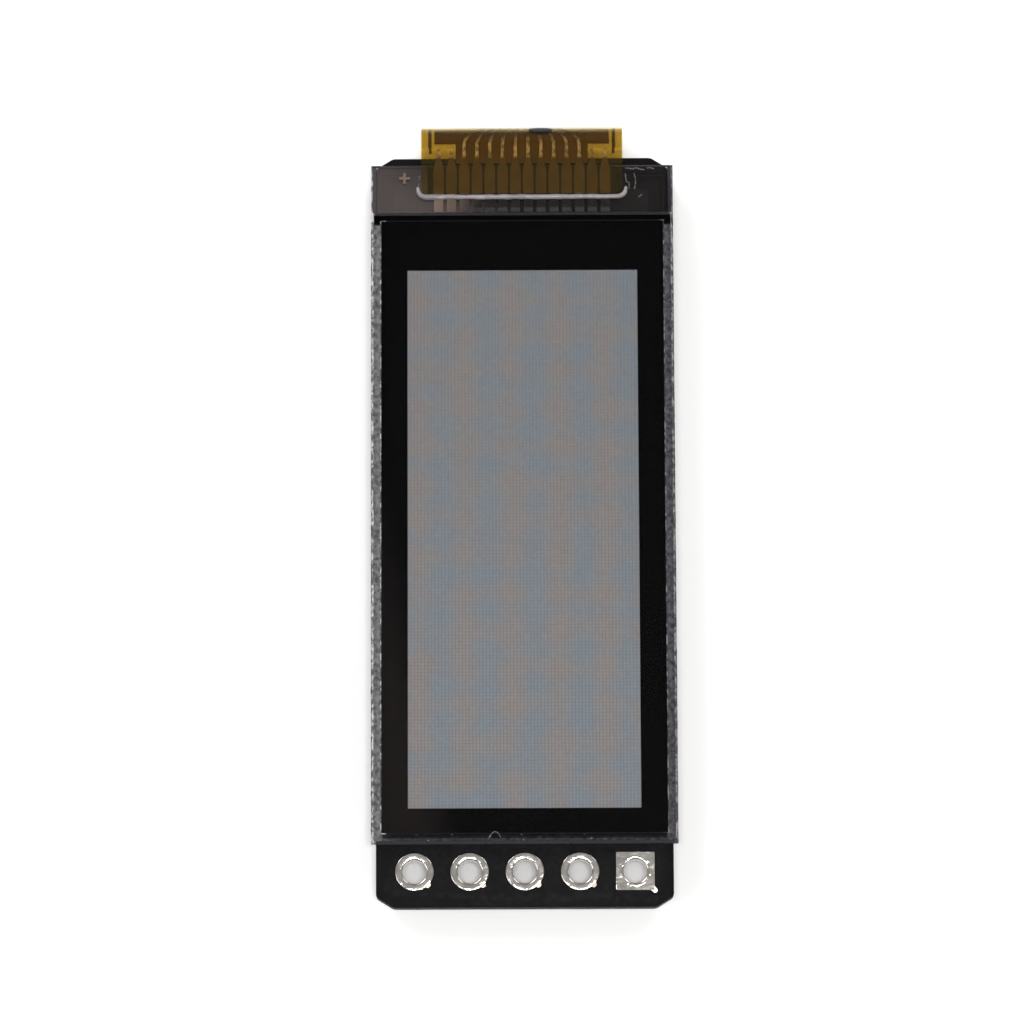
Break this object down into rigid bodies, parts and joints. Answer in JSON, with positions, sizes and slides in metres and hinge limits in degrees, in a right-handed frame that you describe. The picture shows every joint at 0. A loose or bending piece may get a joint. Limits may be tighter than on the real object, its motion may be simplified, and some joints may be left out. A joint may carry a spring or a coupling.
{
  "type": "memory display module",
  "caption": "Small reflective dot display on a narrow black breakout board, with a flex circuit wrapped round one end and a row of header holes at the other.",
  "frame": {"origin": "middle of the module's box, on the plane of the connector's roof that it lies on", "axes": "+X across the module, +Y towards the flex end, +Z out of the screen"},
  "size_m": [0.0142, 0.0368, 0.0029],
  "materials": {
    "black_mask_board": "satin black solder mask",
    "tinned_copper": "hot-dipped tin, smooth and slightly dull",
    "grey_tape": "matt adhesive tape",
    "polarizer_film": "clear grey glossy film",
    "panel_glass": "clear polished glass with ground edges",
    "thin_film_metal": "thin metal film on glass",
    "seal_adhesive": "cured grey adhesive",
    "pixel_mirror": "grey diffuse mirror with a fine dot grid",
    "black_border": "deep black print under glass",
    "bonding_film": "cured conductive film",
    "pale_resin": "cured pale resin",
    "amber_film": "translucent amber film",
    "flex_copper": "rolled copper",
    "brown_film": "brown cover film",
    "shield_film": "dark brown shield layer",
    "stiffener_film": "thick amber film",
    "connector_plastic": "ivory moulded plastic",
    "contact_metal": "gold-plated bronze",
    "latch_plastic": "dark brown moulded plastic",
    "capacitor_ceramic": "fired brown ceramic",
    "resistor_glaze": "black glazed ceramic"
  },
  "bodies": {
    "module": {"printed_circuit_board": "black_mask_board", "board_lands": "tinned_copper", "mounting_tape": "grey_tape", "rear_polarizer": "polarizer_film", "rear_glass": "panel_glass", "glass_terminals": "thin_film_metal", "cell_seal": "seal_adhesive", "pixel_layer": "pixel_mirror", "black_mask": "black_border", "front_glass": "panel_glass", "front_polarizer": "polarizer_film", "bond_film": "bonding_film", "bond_resin": "pale_resin", "flex_film": "amber_film", "flex_traces": "flex_copper", "flex_guards": "flex_copper", "flex_coverlay": "brown_film", "flex_shield": "shield_film", "flex_stiffener": "stiffener_film", "connector_housing": "connector_plastic", "connector_contacts": "contact_metal", "connector_tabs": "tinned_copper", "capacitor_1": "capacitor_ceramic", "capacitor_1_caps": "tinned_copper", "capacitor_2": "capacitor_ceramic", "capacitor_2_caps": "tinned_copper", "resistor": "resistor_glaze", "resistor_caps": "tinned_copper", "solder_joints": "tinned_copper", "header_pad_1": "tinned_copper", "header_pad_2": "tinned_copper", "header_pad_3": "tinned_copper", "header_pad_4": "tinned_copper", "header_pad_5": "tinned_copper"},
    "latch": {"connector_latch": "latch_plastic"}
  },
  "joints": [
    {"name": "latch_flip", "type": "hinge", "parent": "module", "child": "latch", "pos_m": [0, 0.01061, 0.00032], "axis": [1, 0, 0], "range_deg": [0, 90]}
  ]
}
